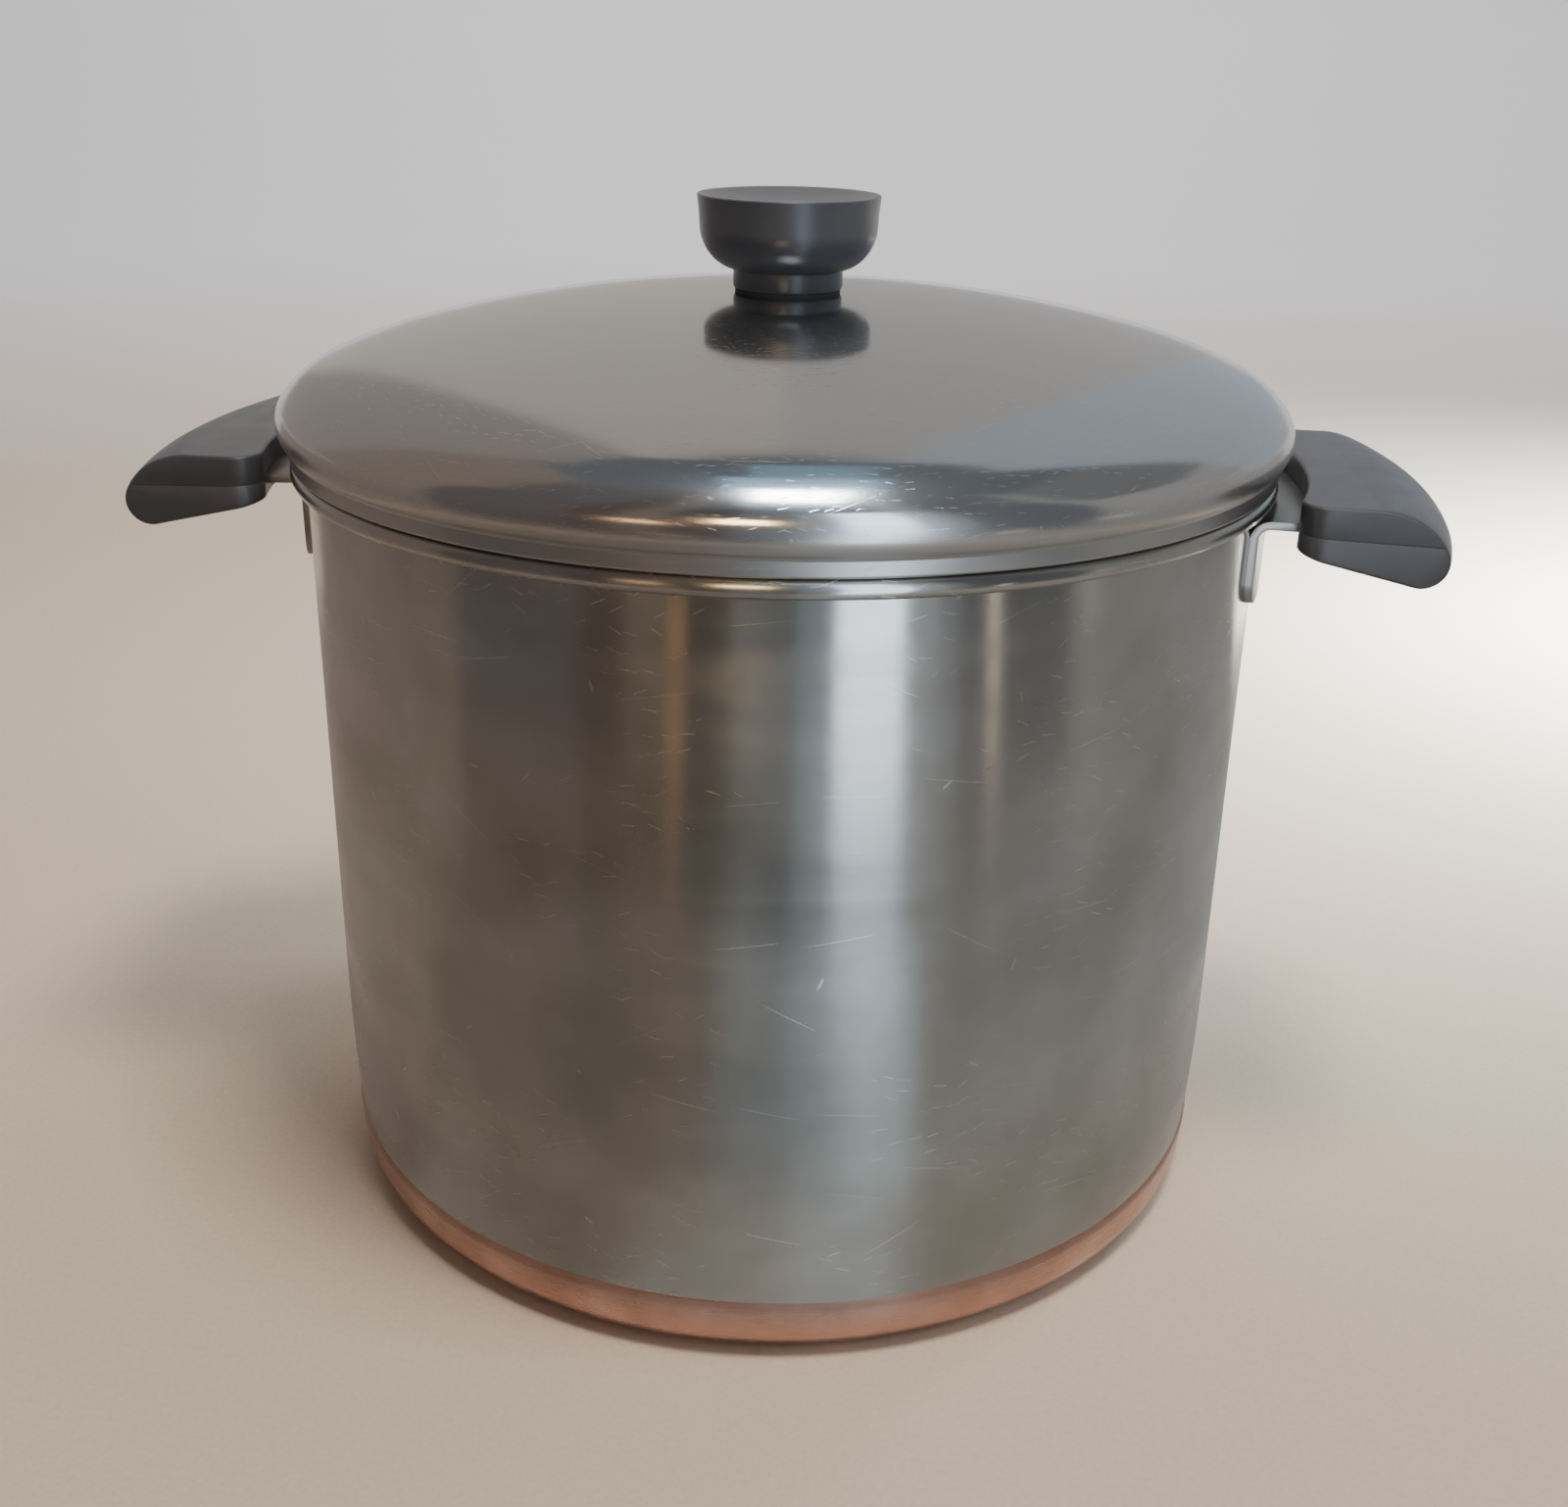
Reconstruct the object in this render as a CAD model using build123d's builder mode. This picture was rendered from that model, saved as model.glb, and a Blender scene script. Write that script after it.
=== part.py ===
from build123d import *
import math
import os

# Domestic stove-top stockpot with a copper-clad base, a domed lid and two side grips.
# Millimetres. The origin is where the pot's axis meets the table, +Z is up and the two
# grips lie along +X (right) and -X (left).

# ---- pot body -------------------------------------------------------------------------
body_radius = 117.0            # outside of the straight steel wall
sheet = 0.8                    # drawn steel sheet
rim_height = 189.5             # top of the rolled bead above the table
bead_radius = 2.25             # outside radius of the rolled bead's tube
bead_turn = 300.0              # degrees the sheet curls round
copper_thickness = 0.5         # copper skin under and around the base
copper_height = 16.5           # top edge of the copper above the table
copper_edge = 1.2              # height of its feathered upper edge
foot_radius = 9.5              # rounding between the base and the wall, at the copper
wall_lean = 5.0                # degrees the wall leans in where it meets that rounding
lean_start = 50.0              # height below which the wall curves in

# ---- handle brackets ------------------------------------------------------------------
bracket_sheet = 1.9            # thickness of the steel strip
bracket_half_width = 35.0      # half its width, side to side
bracket_drop = 26.7            # lower edge of the leg welded to the wall, below the rim
bracket_corner = 6.0           # rounded lower corners of the leg
bracket_bend = 2.6             # inside radius of the bend
tang_length = 23.7             # how far the strip runs into the grip
tang_step = 2.0                # how much narrower the tang is, each side
tang_corner = 7.0              # rounded ends of the tang
tang_lead = 0.7                # step to the tang, outside the grip's inner face

# ---- grips ----------------------------------------------------------------------------
grip_gap = 10.3                # between the wall and the grip's inner face
grip_overhang = 8.0            # grip past the bracket, each side
grip_flat = 17.2               # depth of the flat top, level with the rim
grip_inner_height = 11.2       # height of the inner face
grip_bulge = [                 # ends of the arcs over the outer edge: depth, height below top
    (26.2, 2.3),
    (32.8, 9.2),
    (26.4, 17.5),
]
grip_inner_corner = 6.0        # rounding of the inner end corners
grip_edge = 0.7                # softened edges of the end faces
seam_drop = 6.9                # joint of the two halves at the inner face, below the top
seam_droop = 2.0               # degrees the strip and the joint fall outward
pocket_clearance = 0.04        # round the tang inside the grip

# ---- grip fasteners -------------------------------------------------------------------
grip_screw_depth = 14.7        # screws, from the grip's inner face
grip_screw_inset = 12.0        # screws, in from the tang's ends
grip_screw_radius = 2.0
grip_screw_head_radius = 3.6
grip_screw_head_height = 2.2
grip_screw_land = 2.9          # plastic between the tang and the screw's head
grip_bush_radius = 3.1
grip_bush_cover = 2.1          # plastic left above the bush
screw_clearance = 0.2          # radial room of a screw in a plain hole
thread_clearance = 0.03        # screw in its threaded bush
head_clearance = 0.3           # radial room round a sunk head
recess_depth = 1.1             # cross recess in the screw heads
recess_width = 0.7
thread_end = 0.25              # narrowed ends of the screws
knurl_depth = 0.25             # knurl rings on the bushes
knurl_width = 0.6
cut_margin = 10.0              # how far working cuts run past the piece

# ---- lid ------------------------------------------------------------------------------
lid_rise = 37.1                # flat seat in the middle of the dome, above the rim
lid_seat_margin = 0.7          # flat seat in the dome, wider than the knob's neck
lip_overhang = 3.5             # lip standing on the bead, outside the wall
seat_clearance = 0.05          # lid lip above the bead
skirt_clearance = 1.3          # lid skirt inside the pot's mouth
skirt_depth = 8.5              # skirt below the rim
dome_profile = [               # ends of the dome's arcs: outside the wall, above the rim
    (-25.0, 27.7),
    (-4.5, 20.8),
    (4.6, 13.8),
    (4.0, 4.4),
]

# ---- knob -----------------------------------------------------------------------------
knob_height = 21.7             # knob above its washer
knob_radius = 22.1             # rim of the cup
knob_neck_radius = 13.3
knob_neck_height = 4.3         # neck below the cup
cup_start = 12.0               # degrees the cup rises where it leaves the neck
cup_side = [                   # ends of the arcs up the cup: inside the rim, below the top
    (2.9, 13.7),
    (0.6, 7.3),
]
dish_depth = 2.6               # hollow in the knob's top
dish_land = 1.3                # flat rim round the hollow
dish_button_radius = 7.4       # small raised disc in the hollow
dish_button_height = 0.5
knob_edge = 0.25               # softened edges of the knob
knob_foot_bevel = 0.6          # height of the bevel round the neck's foot
washer_thickness = 1.0
washer_inset = 0.5             # washer edge inside the neck
knob_screw_radius = 2.5
knob_screw_head_radius = 4.6
knob_screw_head_height = 2.6
knob_screw_cover = 1.6         # bush left above the screw's tip
knob_bush_radius = 4.4
knob_bush_length = 12.0

os.makedirs("parts", exist_ok=True)

inner_radius = body_radius - sheet
bead_centre = (inner_radius + bead_radius, rim_height - bead_radius)
foot_corner = foot_radius - copper_thickness
lean_run = (lean_start - foot_radius) / math.sin(math.radians(wall_lean))
lean_radius = lean_run + foot_corner
lean_centre = (body_radius - lean_radius, lean_start)
foot_centre = (lean_centre[0] + lean_run * math.cos(math.radians(wall_lean)), foot_radius)
droop_slope = math.tan(math.radians(seam_droop))
grip_inner = body_radius + grip_gap
grip_top = rim_height
seam_height = grip_top - seam_drop
tang_reach = grip_inner + tang_length
bracket_foot = rim_height - bracket_drop
tang_half_width = bracket_half_width - tang_step
grip_half_width = bracket_half_width + grip_overhang
grip_screw_spread = tang_half_width - grip_screw_inset
grip_screw_reach = grip_inner + grip_screw_depth
lid_top = rim_height + lid_rise
lid_seat_radius = knob_neck_radius + lid_seat_margin
lip_radius = body_radius + lip_overhang
lip_foot = rim_height + seat_clearance
skirt_radius = inner_radius - skirt_clearance
knob_foot = lid_top + washer_thickness
knob_top = knob_foot + knob_height


def polar(centre, radius, degrees):
    """Point at an angle on a circle."""
    turn = math.radians(degrees)
    return (centre[0] + radius * math.cos(turn), centre[1] + radius * math.sin(turn))


def seam_at(reach):
    """Height of the grips' joint at a distance from the pot's axis."""
    return seam_height - (reach - grip_inner) * droop_slope


def smooth_arcs(start, heading, stops):
    """Arcs running smoothly through the stops: centre, radius, start angle and sweep."""
    arcs = []
    for stop in stops:
        run = (stop[0] - start[0], stop[1] - start[1])
        bearing = math.degrees(math.atan2(run[1], run[0]))
        half_turn = (bearing - heading + 180.0) % 360.0 - 180.0
        side = math.copysign(1.0, half_turn)
        radius = math.hypot(run[0], run[1]) / (2 * math.sin(math.radians(abs(half_turn))))
        centre = polar(start, radius, heading + side * 90.0)
        arcs.append((centre, radius, heading - side * 90.0, 2 * half_turn))
        heading += 2 * half_turn
        start = stop
    return arcs


def arc_end(arc, inset=0.0):
    """Last point of one of those arcs, or of the same arc with a smaller radius."""
    centre, radius, angle, sweep = arc
    return polar(centre, radius - inset, angle + sweep)


# ---- steel body: flat base, rounded foot, wall curving in below, and rolled bead --------------
curl_end = 180.0 - bead_turn
floor_top = copper_thickness + sheet
with BuildPart() as kettle_shell:
    with BuildSketch(Plane.XZ) as shell_section:
        with BuildLine() as shell_line:
            Line((0, copper_thickness), (foot_centre[0], copper_thickness))
            CenterArc(foot_centre, foot_corner, -90, 90 - wall_lean)
            CenterArc(lean_centre, lean_radius, -wall_lean, wall_lean)
            Line((body_radius, lean_start), (body_radius, bead_centre[1]))
            CenterArc(bead_centre, bead_radius - sheet, 180, -bead_turn)
            Line(
                polar(bead_centre, bead_radius - sheet, curl_end),
                polar(bead_centre, bead_radius, curl_end),
            )
            CenterArc(bead_centre, bead_radius, curl_end, bead_turn)
            Line((inner_radius, bead_centre[1]), (inner_radius, lean_start))
            CenterArc(lean_centre, lean_radius - sheet, 0, -wall_lean)
            CenterArc(foot_centre, foot_corner - sheet, -wall_lean, wall_lean - 90)
            Line((foot_centre[0], floor_top), (0, floor_top))
            Line((0, floor_top), (0, copper_thickness))
        make_face()
    revolve(axis=Axis.Z)

# ---- copper skin of the base, feathered out at its upper edge -----------------------------------
skin_radius = lean_radius + copper_thickness
feather_drop = lean_start - copper_height + copper_edge
feather_start = math.degrees(math.asin(feather_drop / skin_radius))
feather_end = math.degrees(math.asin((lean_start - copper_height) / lean_radius))
with BuildPart() as copper_base:
    with BuildSketch(Plane.XZ) as copper_section:
        with BuildLine() as copper_line:
            Line((0, 0), (foot_centre[0], 0))
            CenterArc(foot_centre, foot_radius, -90, 90 - wall_lean)
            CenterArc(lean_centre, skin_radius, -wall_lean, wall_lean - feather_start)
            Line(
                polar(lean_centre, skin_radius, -feather_start),
                polar(lean_centre, lean_radius, -feather_end),
            )
            CenterArc(lean_centre, lean_radius, -feather_end, feather_end - wall_lean)
            CenterArc(foot_centre, foot_corner, -wall_lean, wall_lean - 90)
            Line((foot_centre[0], copper_thickness), (0, copper_thickness))
            Line((0, copper_thickness), (0, 0))
        make_face()
    revolve(axis=Axis.Z)

# ---- L-shaped bracket: leg on the wall, bend, arm and tang -----------------------------------
arm_half = bracket_sheet / 2
leg_outside = body_radius + bracket_sheet
cut_low = bracket_foot - cut_margin
cut_high = rim_height + cut_margin
cut_reach = grip_inner + grip_bulge[1][0] + cut_margin
screw_places = [(grip_screw_reach, grip_screw_spread), (grip_screw_reach, -grip_screw_spread)]


def tang_plan(extra):
    """Plan outline of the strip, wider at the wall and stepped in inside the grip."""
    with BuildSketch(Plane.XY.offset(cut_low)) as plan:
        with Locations(((tang_reach + extra) / 2, 0)):
            Rectangle(tang_reach + extra, 2 * (tang_half_width + extra))
        fillet(plan.vertices().group_by(Axis.X)[-1], tang_corner)
        with Locations(((grip_inner - tang_lead) / 2, 0)):
            Rectangle(grip_inner - tang_lead, 2 * (bracket_half_width + extra))
    extrude(plan.sketch, amount=cut_high - cut_low, mode=Mode.INTERSECT)


with BuildPart() as right_bracket:
    with BuildSketch(Plane.XZ) as bracket_section:
        with BuildLine() as bracket_line:
            Polyline(
                (body_radius, bracket_foot),
                (body_radius, seam_at(body_radius) + arm_half),
                (tang_reach, seam_at(tang_reach) + arm_half),
                (tang_reach, seam_at(tang_reach) - arm_half),
                (leg_outside, seam_at(leg_outside) - arm_half),
                (leg_outside, bracket_foot),
                close=True,
            )
        make_face()
        bend_outside = bracket_section.vertices().group_by(Axis.X)[0].sort_by(Axis.Y)[-1]
        fillet(bend_outside, bracket_bend + bracket_sheet)
        bend_inside = bracket_section.vertices().sort_by_distance(
            (leg_outside, seam_at(leg_outside) - arm_half, 0)
        )[0]
        fillet(bend_inside, bracket_bend)
    revolve(axis=Axis.Z)
    tang_plan(0)
    with BuildSketch(Plane.YZ) as leg_outline:
        with Locations((0, (bracket_foot + cut_high) / 2)):
            Rectangle(2 * bracket_half_width, cut_high - bracket_foot)
        fillet(leg_outline.vertices().sort_by(Axis.Y)[:2], bracket_corner)
    extrude(amount=cut_reach, mode=Mode.INTERSECT)
    with BuildSketch(Plane.XY.offset(cut_low)):
        with Locations(*screw_places):
            Circle(grip_screw_radius + screw_clearance)
    extrude(amount=cut_high - cut_low, mode=Mode.SUBTRACT)


def grip_body():
    """Whole grip before it is parted: turned section cut to its plan outline, ends softened."""
    stops = [(grip_inner + depth, grip_top - below) for depth, below in grip_bulge]
    with BuildSketch(Plane.XZ) as section:
        with BuildLine():
            Line((grip_inner, grip_top - grip_inner_height), (grip_inner, grip_top))
            Line((grip_inner, grip_top), (grip_inner + grip_flat, grip_top))
            for arc in smooth_arcs((grip_inner + grip_flat, grip_top), 0.0, stops):
                CenterArc(*arc)
            Line(stops[-1], (grip_inner, grip_top - grip_inner_height))
        make_face()
    revolve(section.sketch, axis=Axis.Z)
    with BuildSketch(Plane.XY.offset(cut_low)) as plan:
        with Locations((cut_reach / 2, 0)):
            Rectangle(cut_reach, 2 * grip_half_width)
        Circle(grip_inner, mode=Mode.SUBTRACT)
        Circle(cut_reach, mode=Mode.INTERSECT)
        fillet(plan.vertices().group_by(Axis.X)[0], grip_inner_corner)
    extrude(plan.sketch, amount=cut_high - cut_low, mode=Mode.INTERSECT)
    end_faces = faces().filter_by(Axis.Y).group_by(Axis.Y)
    fillet(end_faces[0].edges() + end_faces[-1].edges(), grip_edge)


def seam_side(upper):
    """Keep the part of the grip above or below the joint of its two halves."""
    edge = cut_high if upper else cut_low
    with BuildSketch(Plane.XZ) as section:
        with BuildLine():
            Polyline(
                (0, seam_at(0)),
                (cut_reach, seam_at(cut_reach)),
                (cut_reach, edge),
                (0, edge),
                close=True,
            )
        make_face()
    revolve(section.sketch, axis=Axis.Z, mode=Mode.INTERSECT)


# room for the tang between the two halves
with BuildPart() as tang_pocket:
    with BuildSketch(Plane.XZ) as pocket_section:
        with BuildLine() as pocket_line:
            Polyline(
                (leg_outside, seam_at(leg_outside) + arm_half + pocket_clearance),
                (tang_reach + pocket_clearance, seam_at(tang_reach) + arm_half + pocket_clearance),
                (tang_reach + pocket_clearance, seam_at(tang_reach) - arm_half - pocket_clearance),
                (leg_outside, seam_at(leg_outside) - arm_half - pocket_clearance),
                close=True,
            )
        make_face()
    revolve(axis=Axis.Z)
    tang_plan(pocket_clearance)

bush_top = grip_top - grip_bush_cover
bush_foot = seam_at(grip_screw_reach - grip_bush_radius) + arm_half + pocket_clearance
grip_screw_seat = seam_at(grip_screw_reach) - arm_half - pocket_clearance - grip_screw_land

# ---- upper half of the right grip ---------------------------------------------------------------
with BuildPart() as right_grip_upper:
    grip_body()
    seam_side(True)
    add(tang_pocket.part, mode=Mode.SUBTRACT)
    with BuildSketch(Plane.XY.offset(cut_low)) as bush_holes:
        with Locations(*screw_places):
            Circle(grip_bush_radius)
    extrude(bush_holes.sketch, amount=bush_top - cut_low, mode=Mode.SUBTRACT)

# ---- lower half, with sunk screw holes from below ----------------------------------------------
with BuildPart() as right_grip_lower:
    grip_body()
    seam_side(False)
    add(tang_pocket.part, mode=Mode.SUBTRACT)
    with BuildSketch(Plane.XY.offset(cut_low)) as shank_holes:
        with Locations(*screw_places):
            Circle(grip_screw_radius + screw_clearance)
    extrude(shank_holes.sketch, amount=cut_high - cut_low, mode=Mode.SUBTRACT)
    with BuildSketch(Plane.XY.offset(cut_low)) as head_holes:
        with Locations(*screw_places):
            Circle(grip_screw_head_radius + head_clearance)
    extrude(head_holes.sketch, amount=grip_screw_seat - cut_low, mode=Mode.SUBTRACT)


def pan_screw(foot, head_height, head_radius, shank_radius, tip):
    """Pan-head screw pointing up, with its cross recess on the under side."""
    with BuildSketch(Plane.XZ) as section:
        with BuildLine():
            Line((0, foot), (head_radius - head_height / 2, foot))
            RadiusArc((head_radius - head_height / 2, foot), (head_radius, foot + head_height), -head_height)
            Line((head_radius, foot + head_height), (shank_radius, foot + head_height))
            Line((shank_radius, foot + head_height), (shank_radius, tip - thread_end))
            Line((shank_radius, tip - thread_end), (shank_radius - thread_end, tip))
            Line((shank_radius - thread_end, tip), (0, tip))
            Line((0, tip), (0, foot))
        make_face()
    revolve(section.sketch, axis=Axis.Z)
    with BuildSketch(Plane.XY.offset(foot)) as cross:
        Rectangle(head_radius, recess_width)
        Rectangle(recess_width, head_radius)
    extrude(cross.sketch, amount=recess_depth, mode=Mode.SUBTRACT)


def bush(radius, bore, foot, length):
    """Threaded brass bush with knurl rings that hold it in the moulding."""
    with BuildSketch(Plane.XZ) as section:
        with Locations(((radius + bore) / 2, foot + length / 2)):
            Rectangle(radius - bore, length)
        with Locations((radius, foot + length / 3), (radius, foot + length * 2 / 3)):
            Rectangle(2 * knurl_depth, knurl_width, mode=Mode.SUBTRACT)
    revolve(section.sketch, axis=Axis.Z)


# ---- screw and bush of the grips ---------------------------------------------------------------
with BuildPart() as grip_screw:
    pan_screw(
        grip_screw_seat - grip_screw_head_height,
        grip_screw_head_height,
        grip_screw_head_radius,
        grip_screw_radius,
        bush_top - thread_clearance,
    )
with BuildPart() as grip_bush:
    bush(grip_bush_radius, grip_screw_radius + thread_clearance, bush_foot, bush_top - bush_foot)

# ---- lid: flat seat, dome, rounded shoulder, lip and skirt --------------------------------------
lip_corner = sheet
dome_stops = [(body_radius + out, rim_height + up) for out, up in dome_profile]
dome_arcs = smooth_arcs((lid_seat_radius, lid_top), 0.0, dome_stops)
lip_top = dome_stops[-1][1] - sheet
stem = knob_screw_radius + screw_clearance
with BuildPart() as lid_shell:
    with BuildSketch(Plane.XZ) as lid_section:
        with BuildLine() as lid_line:
            Line((stem, lid_top), (lid_seat_radius, lid_top))
            for centre, radius, angle, sweep in dome_arcs:
                CenterArc(centre, radius, angle, sweep)
                CenterArc(centre, radius - sheet, angle, sweep)
            Line(dome_stops[-1], (lip_radius, lip_top))
            Line((lip_radius, lip_top), (lip_radius, lip_foot + lip_corner))
            CenterArc((lip_radius - lip_corner, lip_foot + lip_corner), lip_corner, 0, -90)
            Line((lip_radius - lip_corner, lip_foot), (skirt_radius + lip_corner, lip_foot))
            CenterArc((skirt_radius + lip_corner, lip_foot - lip_corner), lip_corner, 90, 90)
            Line((skirt_radius, lip_foot - lip_corner), (skirt_radius, lip_foot - skirt_depth))
            Line((skirt_radius, lip_foot - skirt_depth), (skirt_radius - sheet, lip_foot - skirt_depth))
            Line((skirt_radius - sheet, lip_foot - skirt_depth), (skirt_radius - sheet, lip_foot - sheet))
            CenterArc((skirt_radius + sheet, lip_foot - sheet), 2 * sheet, 180, -90)
            Line((skirt_radius + sheet, lip_foot + sheet), (lip_radius - sheet, lip_foot + sheet))
            Line((lip_radius - sheet, lip_foot + sheet), (lip_radius - sheet, lip_top + sheet / 2))
            Line((lip_radius - sheet, lip_top + sheet / 2), arc_end(dome_arcs[-1], sheet))
            Line((lid_seat_radius, lid_top - sheet), (stem, lid_top - sheet))
            Line((stem, lid_top - sheet), (stem, lid_top))
        make_face()
    revolve(axis=Axis.Z)

# ---- knob with its bush, washer and screw --------------------------------------------------------
cup_foot = knob_foot + knob_neck_height
bush_floor = knob_foot + knob_foot_bevel
bush_roof = bush_floor + knob_bush_length
cup_stops = [(knob_radius - inside, knob_top - below) for inside, below in cup_side]
cup_stops.append((knob_radius, knob_top - knob_edge))
dish_floor = knob_top - dish_depth
dish_rim = (knob_radius - dish_land, knob_top)
button_top = dish_floor + dish_button_height
with BuildPart() as lid_knob:
    with BuildSketch(Plane.XZ) as knob_section:
        with BuildLine() as knob_line:
            Line((0, knob_foot), (knob_neck_radius - knob_edge, knob_foot))
            Line((knob_neck_radius - knob_edge, knob_foot), (knob_neck_radius, bush_floor))
            Line((knob_neck_radius, bush_floor), (knob_neck_radius, cup_foot))
            for arc in smooth_arcs((knob_neck_radius, cup_foot), cup_start, cup_stops):
                CenterArc(*arc)
            Line((knob_radius, knob_top - knob_edge), (knob_radius - knob_edge, knob_top))
            Line((knob_radius - knob_edge, knob_top), dish_rim)
            for arc in smooth_arcs((dish_button_radius, dish_floor), 0.0, [dish_rim]):
                CenterArc(*arc)
            Line((dish_button_radius, dish_floor), (dish_button_radius - knob_edge, button_top))
            Line((dish_button_radius - knob_edge, button_top), (0, button_top))
            Line((0, button_top), (0, knob_foot))
        make_face()
    revolve(axis=Axis.Z)
    with BuildSketch(Plane.XY.offset(knob_foot)) as bush_hole:
        Circle(knob_bush_radius)
    extrude(bush_hole.sketch, amount=bush_roof - knob_foot, mode=Mode.SUBTRACT)

with BuildPart() as knob_insert:
    bush(knob_bush_radius, knob_screw_radius + thread_clearance, bush_floor, knob_bush_length)

with BuildPart() as knob_washer:
    with BuildSketch(Plane.XY.offset(lid_top)) as washer_ring:
        Circle(knob_neck_radius - washer_inset)
        Circle(knob_screw_radius + screw_clearance, mode=Mode.SUBTRACT)
    extrude(washer_ring.sketch, amount=washer_thickness)

with BuildPart() as knob_screw:
    pan_screw(
        lid_top - sheet - knob_screw_head_height,
        knob_screw_head_height,
        knob_screw_head_radius,
        knob_screw_radius,
        bush_roof - knob_screw_cover,
    )

# ---- place, name and write every piece -------------------------------------------------------------
parts = {
    "kettle_shell": kettle_shell.part,
    "copper_base": copper_base.part,
    "lid_shell": lid_shell.part,
    "lid_knob": lid_knob.part,
    "knob_insert": knob_insert.part,
    "knob_washer": knob_washer.part,
    "knob_screw": knob_screw.part,
}
for side, turn in (("right", 0), ("left", 180)):
    for name, piece in (
        ("bracket", right_bracket),
        ("grip_upper", right_grip_upper),
        ("grip_lower", right_grip_lower),
    ):
        with BuildPart() as turned:
            add(piece.part, rotation=(0, 0, turn))
        parts[f"{side}_{name}"] = turned.part
    for place, spread in (("front", -grip_screw_spread), ("back", grip_screw_spread)):
        flip = 1 if turn == 0 else -1
        for name, piece in (("grip_screw", grip_screw), ("grip_bush", grip_bush)):
            with BuildPart() as placed:
                with Locations((flip * grip_screw_reach, spread, 0)):
                    add(piece.part)
            parts[f"{side}_{name}_{place}"] = placed.part

for name, piece in parts.items():
    piece.label = name
    export_step(piece, f"parts/{name}.step")
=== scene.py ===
import math
import bmesh
import bpy
from mathutils import Matrix, Vector


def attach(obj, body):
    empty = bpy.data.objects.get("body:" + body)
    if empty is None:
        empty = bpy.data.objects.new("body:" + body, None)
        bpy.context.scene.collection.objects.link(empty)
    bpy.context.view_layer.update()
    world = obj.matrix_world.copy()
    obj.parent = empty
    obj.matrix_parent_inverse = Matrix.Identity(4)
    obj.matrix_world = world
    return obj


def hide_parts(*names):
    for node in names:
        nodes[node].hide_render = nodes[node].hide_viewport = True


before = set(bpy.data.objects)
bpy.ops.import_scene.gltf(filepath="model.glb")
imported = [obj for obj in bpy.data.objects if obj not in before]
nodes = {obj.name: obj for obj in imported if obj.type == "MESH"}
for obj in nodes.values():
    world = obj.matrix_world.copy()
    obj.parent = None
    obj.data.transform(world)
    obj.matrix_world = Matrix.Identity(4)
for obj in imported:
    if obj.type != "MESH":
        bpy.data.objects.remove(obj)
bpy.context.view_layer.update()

# A stainless steel stockpot with a copper-clad base, a domed lid and two moulded grips, in a
# plain pale studio. Sizes of the pot are in millimetres, and of the studio in metres.

MM = 0.001

# ---- sizes of the stockpot, millimetres, the same as the solids' ---------------------------------
body_radius = 117.0
sheet = 0.8
rim_height = 189.5
bead_radius = 2.25
bead_turn = 300.0
copper_thickness = 0.5
copper_height = 16.5
copper_edge = 1.2
foot_radius = 9.5
wall_lean = 5.0
lean_start = 50.0
lid_top = 226.6
lid_seat_radius = 14.0
lid_hole_radius = 2.7
lip_radius = 120.5
seat_clearance = 0.05
skirt_radius = 114.9
skirt_depth = 8.5
dome_stops = [(92.0, 217.2), (112.5, 210.3), (121.6, 203.3), (121.0, 193.9)]
knob_foot = 227.6
knob_top = 249.3
knob_radius = 22.1
knob_neck_radius = 13.3
knob_neck_height = 4.3
knob_foot_bevel = 0.6
cup_start = 12.0
cup_stops = [(19.2, 235.6), (21.5, 242.0), (22.1, 249.05)]
dish_depth = 2.6
dish_land = 1.3
dish_button_radius = 7.4
dish_button_height = 0.5
knob_edge = 0.25
knob_bush_radius = 4.4
knob_bush_length = 12.0

# ---- sizes of edges and finishes, millimetres ----------------------------------------------------
weld_gap = 0.001            # points nearer to each other than this become one
grip_edge = 0.28            # rounding of the grips' moulded edges
bracket_edge = 0.35         # rounding of the brackets' pressed edges
lip_dull_and_shaded_below = 196.0      # the lid's lip was never buffed, and it carries painted shade: its dull finish and its painted shade end between these two heights
lip_bright_above = 201.0    # two heights
worn_from = 60.0            # the dome's polish wears thinner between these two distances from
worn_full = 105.0           # its axis
tarnish_depth = 3.0         # line of tarnish along the copper's upper edge


# ---- small tools ---------------------------------------------------------------------------------
def tint(code):
    """A colour written as sRGB hex, as linear red, green, blue and alpha."""
    parts = [int(code[i:i + 2], 16) / 255 for i in (0, 2, 4)]
    linear = [p / 12.92 if p <= 0.04045 else ((p + 0.055) / 1.055) ** 2.4 for p in parts]
    return (*linear, 1.0)


def put(tree, kind, inputs=(), **settings):
    """Add one node, set its properties, and set or link its inputs by name or number."""
    made = tree.nodes.new(kind)
    for key, value in settings.items():
        setattr(made, key, value)
    for key, value in dict(inputs).items():
        if isinstance(value, bpy.types.NodeSocket):
            tree.links.new(value, made.inputs[key])
        else:
            made.inputs[key].default_value = value
    return made


def new_material(name):
    """An empty node material, and its node tree."""
    material = bpy.data.materials.new(name)
    material.use_nodes = True
    material.node_tree.nodes.clear()
    return material, material.node_tree


def polar(centre, radius, degrees):
    """Point at an angle, in degrees, on a circle of a section."""
    turn = math.radians(degrees)
    return (centre[0] + radius * math.cos(turn), centre[1] + radius * math.sin(turn))


def bow(centre, radius, start, sweep, step=4.0):
    """Points along a circular arc of a section, in degrees, both ends included."""
    count = max(2, math.ceil(abs(sweep) / step))
    return [polar(centre, radius, start + sweep * i / count) for i in range(count + 1)]


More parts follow.
